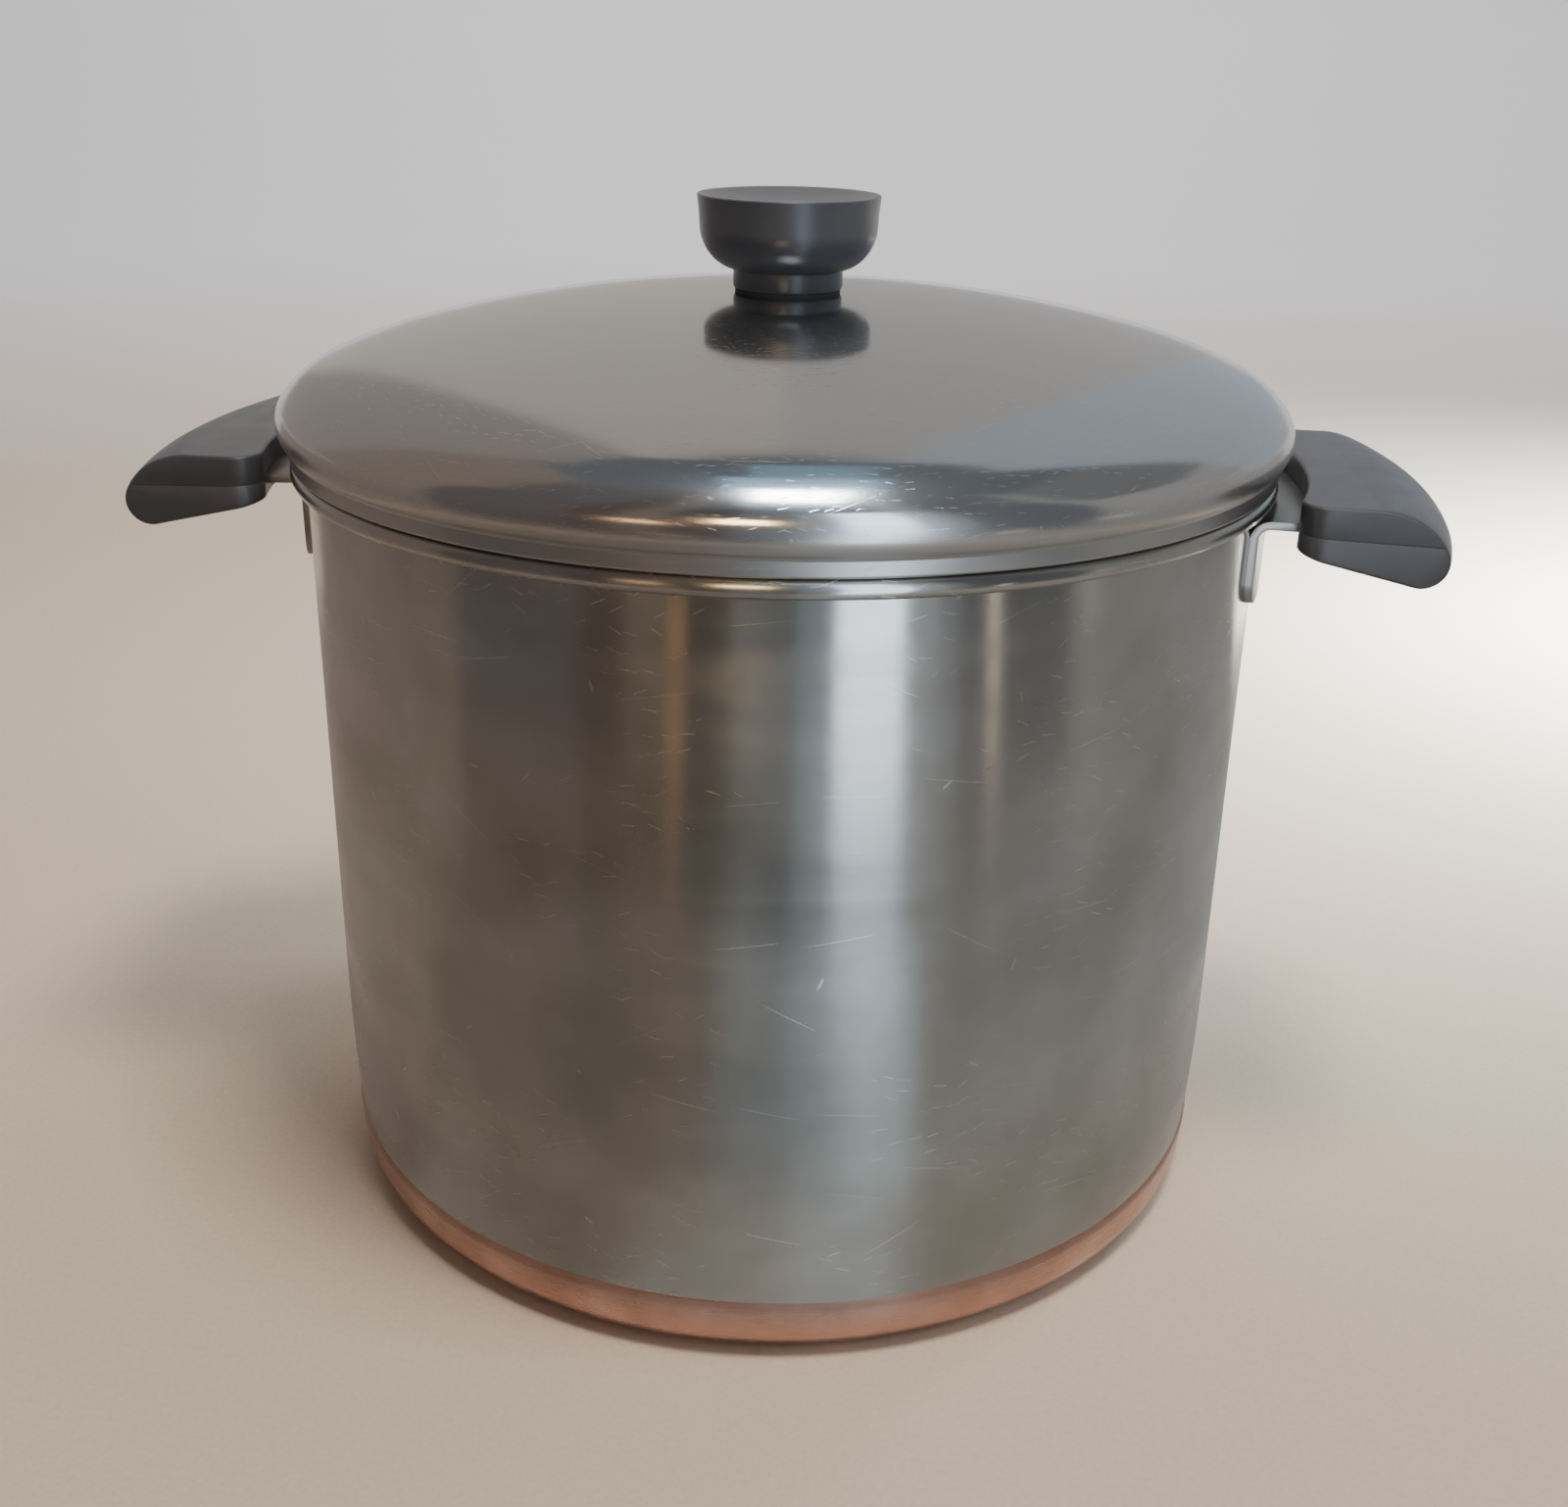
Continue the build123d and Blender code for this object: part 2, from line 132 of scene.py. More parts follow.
def smooth_arcs(start, heading, stops):
    """Arcs that run smoothly on through the stops: centre, radius, start angle and sweep."""
    arcs = []
    for stop in stops:
        run = (stop[0] - start[0], stop[1] - start[1])
        bearing = math.degrees(math.atan2(run[1], run[0]))
        half_turn = (bearing - heading + 180.0) % 360.0 - 180.0
        side = math.copysign(1.0, half_turn)
        radius = math.hypot(run[0], run[1]) / (2 * math.sin(math.radians(abs(half_turn))))
        centre = polar(start, radius, heading + side * 90.0)
        arcs.append((centre, radius, heading - side * 90.0, 2 * half_turn))
        heading += 2 * half_turn
        start = stop
    return arcs


# ---- turned pieces: a section swept round the pot's axis -----------------------------------------
def turning_tree():
    """Geometry Nodes tree that turns a section drawn in X and Z about the Z axis."""
    tree = bpy.data.node_groups.new("turned piece", "GeometryNodeTree")
    for name, kind in (("Section", "NodeSocketGeometry"), ("Steps", "NodeSocketInt"),
                       ("Weld", "NodeSocketFloat"), ("Finish", "NodeSocketMaterial")):
        tree.interface.new_socket(name, in_out="INPUT", socket_type=kind)
    tree.interface.new_socket("Piece", in_out="OUTPUT", socket_type="NodeSocketGeometry")
    given = put(tree, "NodeGroupInput")
    count = put(tree, "GeometryNodeAttributeDomainSize", {"Geometry": given.outputs["Section"]})
    columns = put(tree, "ShaderNodeMath", {0: given.outputs["Steps"], 1: 1.0}, operation="ADD")
    grid = put(tree, "GeometryNodeMeshGrid",
               {"Vertices X": count.outputs["Point Count"], "Vertices Y": columns.outputs[0]})
    index = put(tree, "GeometryNodeInputIndex")
    row = put(tree, "ShaderNodeMath", {0: index.outputs[0], 1: columns.outputs[0]}, operation="DIVIDE")
    row_number = put(tree, "ShaderNodeMath", {0: row.outputs[0]}, operation="FLOOR")
    column = put(tree, "ShaderNodeMath", {0: index.outputs[0], 1: columns.outputs[0]}, operation="MODULO")
    share = put(tree, "ShaderNodeMath", {0: column.outputs[0], 1: given.outputs["Steps"]},
                operation="DIVIDE")
    angle = put(tree, "ShaderNodeMath", {0: share.outputs[0], 1: math.tau}, operation="MULTIPLY")
    place = put(tree, "GeometryNodeInputPosition")
    point = put(tree, "GeometryNodeSampleIndex",
                {"Geometry": given.outputs["Section"], "Value": place.outputs[0],
                 "Index": row_number.outputs[0]}, data_type="FLOAT_VECTOR")
    turned = put(tree, "ShaderNodeVectorRotate",
                 {"Vector": point.outputs[0], "Axis": (0, 0, 1), "Angle": angle.outputs[0]},
                 rotation_type="AXIS_ANGLE")
    moved = put(tree, "GeometryNodeSetPosition",
                {"Geometry": grid.outputs["Mesh"], "Position": turned.outputs[0]})
    welded = put(tree, "GeometryNodeMergeByDistance",
                 {"Geometry": moved.outputs[0], "Distance": given.outputs["Weld"]})
    smooth = put(tree, "GeometryNodeSetShadeSmooth", {0: welded.outputs[0]})
    real = put(tree, "GeometryNodeRealizeInstances", {0: smooth.outputs[0]})
    painted = put(tree, "GeometryNodeSetMaterial",
                  {"Geometry": real.outputs[0], "Material": given.outputs["Finish"]})
    put(tree, "NodeGroupOutput", {0: painted.outputs[0]})
    return tree


def freeze(piece):
    """Turn a piece's modifiers into its plain mesh."""
    graph = bpy.context.evaluated_depsgraph_get()
    solid = bpy.data.meshes.new_from_object(piece.evaluated_get(graph))
    piece.modifiers.clear()
    piece.data = solid


def face_outward(mesh):
    """Turn every face of a closed mesh outward."""
    work = bmesh.new()
    work.from_mesh(mesh)
    bmesh.ops.recalc_face_normals(work, faces=work.faces)
    work.to_mesh(mesh)
    work.free()


def turned_piece(name, section, finish, body, node, steps=288, crease=28.0):
    """A round piece turned from its section in millimetres, in place of one node."""
    mesh = bpy.data.meshes.new(name)
    points = [(x * MM, 0.0, z * MM) for x, z in section]
    mesh.from_pydata(points, [(i, i + 1) for i in range(len(points) - 1)], [])
    piece = bpy.data.objects.new(name, mesh)
    bpy.context.collection.objects.link(piece)
    turning = piece.modifiers.new("turning", "NODES")
    turning.node_group = turning_group
    sockets = {s.name: s.identifier for s in turning_group.interface.items_tree if s.in_out == "INPUT"}
    turning[sockets["Steps"]] = steps
    turning[sockets["Weld"]] = weld_gap * MM
    turning[sockets["Finish"]] = finish
    freeze(piece)
    face_outward(piece.data)
    piece.data.set_sharp_from_angle(angle=math.radians(crease))
    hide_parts(node)
    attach(piece, body)


turning_group = turning_tree()

# ---- finishes ------------------------------------------------------------------------------------
def scale_for(size):
    """Texture scale that draws a pattern about size millimetres across."""
    return 1.0 / (size * MM)


def turn_from_front(tree, axes):
    """Angle round the pot's axis, in radians, nought at the front."""
    back = put(tree, "ShaderNodeMath", {0: axes.outputs[1], 1: -1.0}, operation="MULTIPLY")
    return put(tree, "ShaderNodeMath", {0: axes.outputs[0], 1: back.outputs[0]},
               operation="ARCTAN2").outputs[0]


def way_round(tree, axes):
    """Metres round the wall from the front."""
    turn = turn_from_front(tree, axes)
    return put(tree, "ShaderNodeMath", {0: turn, 1: body_radius * MM}, operation="MULTIPLY").outputs[0]


def reach_from_axis(tree, where):
    """Metres out from the pot's axis."""
    flat = put(tree, "ShaderNodeVectorMath", {0: where, 1: (1.0, 1.0, 0.0)}, operation="MULTIPLY")
    return put(tree, "ShaderNodeVectorMath", {0: flat.outputs[0]}, operation="LENGTH").outputs["Value"]


def wall_map(tree, where):
    """Flat map of a round wall: metres round it, then height."""
    axes = put(tree, "ShaderNodeSeparateXYZ", {0: where})
    return put(tree, "ShaderNodeCombineXYZ", {0: way_round(tree, axes), 1: axes.outputs[2]}).outputs[0]


def dome_map(tree, where):
    """Flat map of the lid: metres round it, then distance from the middle down the dome."""
    axes = put(tree, "ShaderNodeSeparateXYZ", {0: where})
    down = put(tree, "ShaderNodeMath", {0: reach_from_axis(tree, where), 1: axes.outputs[2]},
               operation="SUBTRACT")
    return put(tree, "ShaderNodeCombineXYZ", {0: way_round(tree, axes), 1: down.outputs[0]}).outputs[0]


def block_map(tree, where):
    """Flat map of a small moulding, slanted so that no face of it is seen end on."""
    axes = put(tree, "ShaderNodeSeparateXYZ", {0: where})
    first = put(tree, "ShaderNodeMath", {0: axes.outputs[2], 1: 0.6, 2: axes.outputs[0]},
                operation="MULTIPLY_ADD")
    second = put(tree, "ShaderNodeMath", {0: axes.outputs[2], 1: 0.8, 2: axes.outputs[1]},
                 operation="MULTIPLY_ADD")
    return put(tree, "ShaderNodeCombineXYZ", {0: first.outputs[0], 1: second.outputs[0]}).outputs[0]


def scratches(tree, flat, cell, length, width, share, swing, seed):
    """Fine straight scratches on a flat map, sizes in millimetres: 1 where one runs, 0 beside it.

    Each cell holds one scratch, turned up to half the swing (radians) off the map's first
    axis. Share is how many of the cells are scratched, and seed moves the whole pattern.
    """
    moved = put(tree, "ShaderNodeVectorMath", {0: flat, 1: (seed, 1.7 * seed, 0.0)}, operation="ADD")
    cells = put(tree, "ShaderNodeTexVoronoi", {"Vector": moved.outputs[0], "Scale": scale_for(cell)},
                voronoi_dimensions="2D")
    chance = put(tree, "ShaderNodeSeparateColor", {0: cells.outputs["Color"]})
    local = put(tree, "ShaderNodeVectorMath", {0: moved.outputs[0], 1: cells.outputs["Position"]},
                operation="SUBTRACT")
    turn = put(tree, "ShaderNodeMapRange", {0: chance.outputs[0], 3: -swing / 2, 4: swing / 2})
    turned = put(tree, "ShaderNodeVectorRotate", {"Vector": local.outputs[0], "Angle": turn.outputs[0]},
                 rotation_type="Z_AXIS")
    axes = put(tree, "ShaderNodeSeparateXYZ", {0: turned.outputs[0]})
    along = put(tree, "ShaderNodeMath", {0: axes.outputs[0]}, operation="ABSOLUTE")
    across = put(tree, "ShaderNodeMath", {0: axes.outputs[1]}, operation="ABSOLUTE")
    line = put(tree, "ShaderNodeMapRange",
               {0: across.outputs[0], 1: 0.0, 2: width * MM / 2, 3: 1.0, 4: 0.0})
    taper = put(tree, "ShaderNodeMapRange",
                {0: along.outputs[0], 1: length * MM / 4, 2: length * MM / 2, 3: 1.0, 4: 0.0})
    kept = put(tree, "ShaderNodeMapRange", {0: chance.outputs[1], 1: 1.0 - share, 2: 1.0})
    drawn = put(tree, "ShaderNodeMath", {0: line.outputs[0], 1: taper.outputs[0]}, operation="MULTIPLY")
    return put(tree, "ShaderNodeMath", {0: drawn.outputs[0], 1: kept.outputs[0]},
               operation="MULTIPLY").outputs[0]


def strongest(tree, masks):
    """The strongest of several masks, point by point."""
    best = masks[0]
    for mask in masks[1:]:
        best = put(tree, "ShaderNodeMath", {0: best, 1: mask}, operation="MAXIMUM").outputs[0]
    return best


def in_patches(tree, marks, flat, size, start, full):
    """Marks kept where a cloudy pattern, its clouds size millimetres across, is strong."""
    cloud = put(tree, "ShaderNodeTexNoise", {"Vector": flat, "Scale": scale_for(size), "Detail": 1.0},
                noise_dimensions="2D")
    kept = put(tree, "ShaderNodeMapRange", {0: cloud.outputs[0], 1: start, 2: full})
    return put(tree, "ShaderNodeMath", {0: marks, 1: kept.outputs[0]}, operation="MULTIPLY").outputs[0]


def brushed_stainless():
    """Drawn stainless steel, belt-brushed round the pot and dulled by years of scouring.

    The level brush lines stretch each reflection up and down the wall; scratches, scuffs
    and cloudy wipe marks break them.
    """
    material, tree = new_material("brushed stainless steel, scoured")
    where = put(tree, "ShaderNodeTexCoord").outputs["Object"]
    wall = wall_map(tree, where)
    # brush lines 40 mm long, drawn 0.25 mm apart because real ones are too fine to show
    lines = (scale_for(40.0), scale_for(40.0), scale_for(0.25))
    level = put(tree, "ShaderNodeMapping", {"Vector": where, "Scale": lines})
    brush = put(tree, "ShaderNodeTexNoise", {"Vector": level.outputs[0], "Scale": 1.0, "Detail": 3.0})
    # clouds of wear 30 mm across, and wipe marks 70 by 13 mm that slant round the wall
    cloud = put(tree, "ShaderNodeTexNoise", {"Vector": where, "Scale": scale_for(30.3), "Detail": 4.0})
    wipes = (scale_for(71.4), scale_for(13.3), 1.0)
    slant = put(tree, "ShaderNodeMapping",
                {"Vector": wall, "Rotation": (0.0, 0.0, math.radians(20.0)), "Scale": wipes})
    wipe = put(tree, "ShaderNodeTexNoise",
               {"Vector": slant.outputs[0], "Scale": 1.0, "Detail": 3.0, "Distortion": 0.8})
    # hairlines here and there, shorter rub marks in clusters, and a few broad scuffs
    hairlines = scratches(tree, wall, cell=19.0, length=17.0, width=0.24, share=0.6, swing=1.4, seed=0.113)
    rubs = scratches(tree, wall, cell=4.2, length=4.0, width=0.3, share=0.7, swing=1.2, seed=0.271)
    clusters = in_patches(tree, rubs, wall, size=34.0, start=0.5, full=0.62)
    scuffs = scratches(tree, wall, cell=22.0, length=3.2, width=0.8, share=0.35, swing=3.0, seed=0.419)
    marks = strongest(tree, (hairlines, clusters, scuffs))
    tone = put(tree, "ShaderNodeMapRange", {0: cloud.outputs[0], 1: 0.3, 2: 0.7})
    shade = put(tree, "ShaderNodeMix", {0: tone.outputs[0], 6: tint("999790"), 7: tint("aeaca8")},
                data_type="RGBA")
    marked = put(tree, "ShaderNodeMix", {0: marks, 6: shade.outputs[2], 7: tint("cecdca")},
                 data_type="RGBA")
    rough = put(tree, "ShaderNodeMapRange", {0: wipe.outputs[0], 1: 0.35, 2: 0.65, 3: 0.2, 4: 0.27})
    rougher = put(tree, "ShaderNodeMath", {0: marks, 1: 0.25, 2: rough.outputs[0]}, operation="MULTIPLY_ADD")
    height = put(tree, "ShaderNodeMath", {0: marks, 1: -1.2, 2: brush.outputs[0]}, operation="MULTIPLY_ADD")
    relief = put(tree, "ShaderNodeBump",
                 {"Strength": 0.12, "Distance": 0.04 * MM, "Height": height.outputs[0]})
    run = put(tree, "ShaderNodeTangent", direction_type="RADIAL", axis="Z")
    steel = put(tree, "ShaderNodeBsdfPrincipled",
                {"Base Color": marked.outputs[2], "Metallic": 1.0, "Roughness": rougher.outputs[0],
                 "Anisotropic": 0.88, "Anisotropic Rotation": 0.25, "Normal": relief.outputs[0],
                 "Tangent": run.outputs[0]})
    put(tree, "ShaderNodeOutputMaterial", {0: steel.outputs[0]})
    return material


def polished_stainless():
    """Spun stainless lid, buffed bright: close to a mirror, under a haze of short scratches.

    A thin rough coat is the dried film of washing, which veils dark reflections seen aslant.
    """
    material, tree = new_material("buffed stainless steel, spun lid")
    where = put(tree, "ShaderNodeTexCoord").outputs["Object"]
    axes = put(tree, "ShaderNodeSeparateXYZ", {0: where})
    reach = reach_from_axis(tree, where)
    dome = dome_map(tree, where)
    # buffing rings, drawn 0.6 mm apart because real ones are too fine to show, and 40 mm clouds
    rings = put(tree, "ShaderNodeTexNoise", {"W": reach, "Scale": scale_for(0.588), "Detail": 2.0},
                noise_dimensions="1D")
    haze = put(tree, "ShaderNodeTexNoise", {"Vector": where, "Scale": scale_for(38.5), "Detail": 3.0})
    # a veil of short dashes, some hairlines, and specks
    dashes = scratches(tree, dome, cell=2.7, length=2.5, width=0.26, share=0.9, swing=1.1, seed=0.137)
    hairlines = scratches(tree, dome, cell=15.0, length=14.0, width=0.2, share=0.5, swing=2.0, seed=0.419)
    specks = scratches(tree, dome, cell=8.0, length=1.0, width=0.5, share=0.3, swing=3.0, seed=0.731)
    marks = strongest(tree, (dashes, hairlines, specks))
    shade = put(tree, "ShaderNodeMix", {0: marks, 6: tint("bab8b6"), 7: tint("cccbca")}, data_type="RGBA")
    rough = put(tree, "ShaderNodeMapRange", {0: haze.outputs[0], 1: 0.3, 2: 0.7, 3: 0.07, 4: 0.13})
    # worn duller towards the shoulder
    worn = put(tree, "ShaderNodeMapRange",
               {0: reach, 1: worn_from * MM, 2: worn_full * MM, 3: 0.0, 4: 0.05})
    dulled_rim = put(tree, "ShaderNodeMath", {0: rough.outputs[0], 1: worn.outputs[0]}, operation="ADD")
    # the lip under the crease was never buffed, so it is rougher; its darker colour is painted shade,
    # standing for the dark reflections of the lip facing down under the shoulder
    lip_dull_and_shaded = put(tree, "ShaderNodeMapRange",
              {0: axes.outputs[2], 1: lip_dull_and_shaded_below * MM, 2: lip_bright_above * MM, 3: 1.0, 4: 0.0})
    # painted shade: the lip's darker colour
    lid_colour_with_shaded_lip = put(tree, "ShaderNodeMix", {0: lip_dull_and_shaded.outputs[0], 6: shade.outputs[2], 7: tint("9f9d9a")},
                data_type="RGBA")
    dulled_lip = put(tree, "ShaderNodeMath", {0: lip_dull_and_shaded.outputs[0], 1: 0.2, 2: dulled_rim.outputs[0]},
                     operation="MULTIPLY_ADD")
    rougher = put(tree, "ShaderNodeMath", {0: marks, 1: 0.12, 2: dulled_lip.outputs[0]},
                  operation="MULTIPLY_ADD")
    grooves = put(tree, "ShaderNodeBump",
                  {"Strength": 0.5, "Distance": 0.03 * MM, "Height": marks}, invert=True)
    relief = put(tree, "ShaderNodeBump",
                 {"Strength": 0.05, "Distance": 0.03 * MM, "Height": rings.outputs[0],
                  "Normal": grooves.outputs[0]})
    steel = put(tree, "ShaderNodeBsdfPrincipled",
                {"Base Color": lid_colour_with_shaded_lip.outputs[2], "Metallic": 1.0, "Roughness": rougher.outputs[0],
                 "Normal": relief.outputs[0], "Coat Weight": 0.4, "Coat Roughness": 0.5})
    put(tree, "ShaderNodeOutputMaterial", {0: steel.outputs[0]})
    return material


def copper():
    """Copper-clad base, rubbed with cleaner: pink satin with browner clouds and rub marks."""
    material, tree = new_material("copper cladding, rubbed satin")
    where = put(tree, "ShaderNodeTexCoord").outputs["Object"]
    wall = wall_map(tree, where)
    # rub lines 33 mm long, drawn 0.7 mm apart because real ones are too fine to show
    lines = (scale_for(33.3), scale_for(33.3), scale_for(0.667))
    level = put(tree, "ShaderNodeMapping", {"Vector": where, "Scale": lines})
    rub = put(tree, "ShaderNodeTexNoise", {"Vector": level.outputs[0], "Scale": 1.0, "Detail": 3.0})
    # browner clouds 22 mm across, and rub marks
    cloud = put(tree, "ShaderNodeTexNoise", {"Vector": where, "Scale": scale_for(22.2), "Detail": 4.0})
    marks = scratches(tree, wall, cell=6.0, length=5.0, width=0.3, share=0.5, swing=0.9, seed=0.331)
    tone = put(tree, "ShaderNodeMapRange", {0: cloud.outputs[0], 1: 0.35, 2: 0.68})
    shade = put(tree, "ShaderNodeMix", {0: tone.outputs[0], 6: tint("b18c7d"), 7: tint("cba99d")},
                data_type="RGBA")
    # a dull brown line of tarnish that fades downwards from the steel
    axes = put(tree, "ShaderNodeSeparateXYZ", {0: where})
    tarnish = put(tree, "ShaderNodeMapRange",
                  {0: axes.outputs[2], 1: (copper_height - tarnish_depth) * MM, 2: copper_height * MM,
                   3: 0.0, 4: 0.6})
    dulled = put(tree, "ShaderNodeMix", {0: tarnish.outputs[0], 6: shade.outputs[2], 7: tint("8a6a5c")},
                 data_type="RGBA")
    rough = put(tree, "ShaderNodeMapRange", {0: rub.outputs[0], 1: 0.3, 2: 0.7, 3: 0.24, 4: 0.36})
    height = put(tree, "ShaderNodeMath", {0: marks, 1: -1.0, 2: rub.outputs[0]}, operation="MULTIPLY_ADD")
    relief = put(tree, "ShaderNodeBump",
                 {"Strength": 0.1, "Distance": 0.04 * MM, "Height": height.outputs[0]})
    metal = put(tree, "ShaderNodeBsdfPrincipled",
                {"Base Color": dulled.outputs[2], "Metallic": 1.0, "Roughness": rough.outputs[0],
                 "Normal": relief.outputs[0]})
    put(tree, "ShaderNodeOutputMaterial", {0: metal.outputs[0]})
    return material


def phenolic(name, base, worn, gloss):
    """Moulded black phenolic, greyed by washing: smooth, with a soft and uneven gloss."""
    material, tree = new_material(name)
    where = put(tree, "ShaderNodeTexCoord").outputs["Object"]
    block = block_map(tree, where)
    # clouds of wear 14 mm across, and a moulded grain drawn 0.4 mm across, coarser than the real one
    cloud = put(tree, "ShaderNodeTexNoise", {"Vector": where, "Scale": scale_for(14.3), "Detail": 4.0})
    grain = put(tree, "ShaderNodeTexNoise", {"Vector": where, "Scale": scale_for(0.385), "Detail": 1.0})
    marks = scratches(tree, block, cell=9.0, length=8.0, width=0.22, share=0.4, swing=2.6, seed=0.217)
    shade = put(tree, "ShaderNodeMix", {0: cloud.outputs[0], 6: tint(base), 7: tint(worn)},
                data_type="RGBA")
    rough = put(tree, "ShaderNodeMapRange",
                {0: cloud.outputs[0], 1: 0.3, 2: 0.7, 3: gloss - 0.05, 4: gloss + 0.05})
    rougher = put(tree, "ShaderNodeMath", {0: marks, 1: 0.15, 2: rough.outputs[0]}, operation="MULTIPLY_ADD")
    height = put(tree, "ShaderNodeMath", {0: marks, 1: -1.0, 2: grain.outputs[0]}, operation="MULTIPLY_ADD")
    relief = put(tree, "ShaderNodeBump",
                 {"Strength": 0.12, "Distance": 0.03 * MM, "Height": height.outputs[0]})
    resin = put(tree, "ShaderNodeBsdfPrincipled",
                {"Base Color": shade.outputs[2], "Roughness": rougher.outputs[0], "IOR": 1.53,
                 "Normal": relief.outputs[0]})
    put(tree, "ShaderNodeOutputMaterial", {0: resin.outputs[0]})
    return material


def plain_metal(name, low_tone, high_tone, gloss):
    """Turned or pressed metal, for brackets, screws and bushes: an even satin, slightly clouded."""
    material, tree = new_material(name)
    where = put(tree, "ShaderNodeTexCoord").outputs["Object"]
    # a grain drawn 1 mm across, coarser than the real one, and clouds 11 mm across
    grain = put(tree, "ShaderNodeTexNoise", {"Vector": where, "Scale": scale_for(1.11), "Detail": 3.0})
    cloud = put(tree, "ShaderNodeTexNoise", {"Vector": where, "Scale": scale_for(11.1), "Detail": 3.0})
    shade = put(tree, "ShaderNodeMix", {0: cloud.outputs[0], 6: tint(low_tone), 7: tint(high_tone)},
                data_type="RGBA")
    rough = put(tree, "ShaderNodeMapRange",
                {0: cloud.outputs[0], 1: 0.3, 2: 0.7, 3: gloss - 0.05, 4: gloss + 0.08})
    relief = put(tree, "ShaderNodeBump",
                 {"Strength": 0.1, "Distance": 0.04 * MM, "Height": grain.outputs[0]})
    metal = put(tree, "ShaderNodeBsdfPrincipled",
                {"Base Color": shade.outputs[2], "Metallic": 1.0, "Roughness": rough.outputs[0],
                 "Normal": relief.outputs[0]})
    put(tree, "ShaderNodeOutputMaterial", {0: metal.outputs[0]})
    return material


def rubber():
    """Moulded rubber washer: black and dull, with a fine grey bloom."""
    material, tree = new_material("moulded black rubber")
    where = put(tree, "ShaderNodeTexCoord").outputs["Object"]
    bloom = put(tree, "ShaderNodeTexNoise", {"Vector": where, "Scale": scale_for(1.67), "Detail": 3.0})
    shade = put(tree, "ShaderNodeMix", {0: bloom.outputs[0], 6: tint("1c1c1d"), 7: tint("2b2b2c")},
                data_type="RGBA")
    skin = put(tree, "ShaderNodeBsdfPrincipled",
               {"Base Color": shade.outputs[2], "Roughness": 0.8, "IOR": 1.52})
    put(tree, "ShaderNodeOutputMaterial", {0: skin.outputs[0]})
    return material


steel_finish = brushed_stainless()
lid_finish = polished_stainless()
copper_finish = copper()
grip_finish = phenolic("phenolic grip moulding, satin", "3d3e42", "47484d", 0.39)
knob_finish = phenolic("phenolic knob moulding, semi-gloss", "47494e", "505257", 0.35)
bracket_finish = plain_metal("pressed stainless strip", "908d88", "a8a5a0", 0.38)
screw_finish = plain_metal("zinc-plated steel screw", "a3a6a8", "babdbf", 0.3)
brass_finish = plain_metal("turned brass bush", "b08f4c", "c7a660", 0.35)
rubber_finish = rubber()

# ---- round pieces --------------------------------------------------------------------------------
inner_radius = body_radius - sheet
foot_corner = foot_radius - copper_thickness
lean_run = (lean_start - foot_radius) / math.sin(math.radians(wall_lean))
lean_radius = lean_run + foot_corner
lean_centre = (body_radius - lean_radius, lean_start)
foot_centre = (lean_centre[0] + lean_run * math.cos(math.radians(wall_lean)), foot_radius)
bead_centre = (inner_radius + bead_radius, rim_height - bead_radius)
wall_rings = (85.0, 120.0, 155.0)
kettle_section = (
    [(0, copper_thickness)]
    + bow(foot_centre, foot_corner, -90, 90 - wall_lean)
    + bow(lean_centre, lean_radius, -wall_lean, wall_lean, step=0.5)[1:]
    + [(body_radius, z) for z in wall_rings]
    + bow(bead_centre, bead_radius - sheet, 180, -bead_turn, step=8)
    + bow(bead_centre, bead_radius, 180 - bead_turn, bead_turn, step=6)
    + [(inner_radius, z) for z in reversed(wall_rings)]
    + bow(lean_centre, lean_radius - sheet, 0, -wall_lean, step=0.5)
    + bow(foot_centre, foot_corner - sheet, -wall_lean, wall_lean - 90)[1:]
    + [(0, copper_thickness + sheet)]
)
turned_piece("kettle_steel", kettle_section, steel_finish, "kettle", "kettle_shell")

skin_radius = lean_radius + copper_thickness
feather_drop = lean_start - copper_height + copper_edge
feather_start = math.degrees(math.asin(feather_drop / skin_radius))
feather_end = math.degrees(math.asin((lean_start - copper_height) / lean_radius))
copper_section = (
    [(0, 0)]
    + bow(foot_centre, foot_radius, -90, 90 - wall_lean)
    + bow(lean_centre, skin_radius, -wall_lean, wall_lean - feather_start, step=0.2)[1:]
    + bow(lean_centre, lean_radius, -feather_end, feather_end - wall_lean, step=0.5)
    + bow(foot_centre, foot_corner, -wall_lean, wall_lean - 90)[1:]
    + [(0, copper_thickness)]
)
turned_piece("copper_cladding", copper_section, copper_finish, "kettle", "copper_base")

dome_arcs = smooth_arcs((lid_seat_radius, lid_top), 0.0, dome_stops)
lip_foot = rim_height + seat_clearance
lip_top = dome_stops[-1][1] - sheet
outer_dome, inner_dome = [], []
for centre, radius, start, sweep in dome_arcs:
    outer_dome += bow(centre, radius, start, sweep, step=1.2)[1:]
    inner_dome += bow(centre, radius - sheet, start, sweep, step=3.0)[1:]
lid_section = (
    [(lid_hole_radius, lid_top), (lid_seat_radius, lid_top)]
    + outer_dome
    + [(lip_radius, lip_top)]
    + bow((lip_radius - sheet, lip_foot + sheet), sheet, 0, -90, step=15)
    + bow((skirt_radius + sheet, lip_foot - sheet), sheet, 90, 90, step=15)
    + [(skirt_radius, lip_foot - skirt_depth), (skirt_radius - sheet, lip_foot - skirt_depth)]
    + bow((skirt_radius + sheet, lip_foot - sheet), 2 * sheet, 180, -90, step=15)
    + [(lip_radius - sheet, lip_foot + sheet), (lip_radius - sheet, lip_top + sheet / 2)]
    + inner_dome[::-1]
    + [(lid_seat_radius, lid_top - sheet), (lid_hole_radius, lid_top - sheet), (lid_hole_radius, lid_top)]
)
turned_piece("lid_dome", lid_section, lid_finish, "lid", "lid_shell")

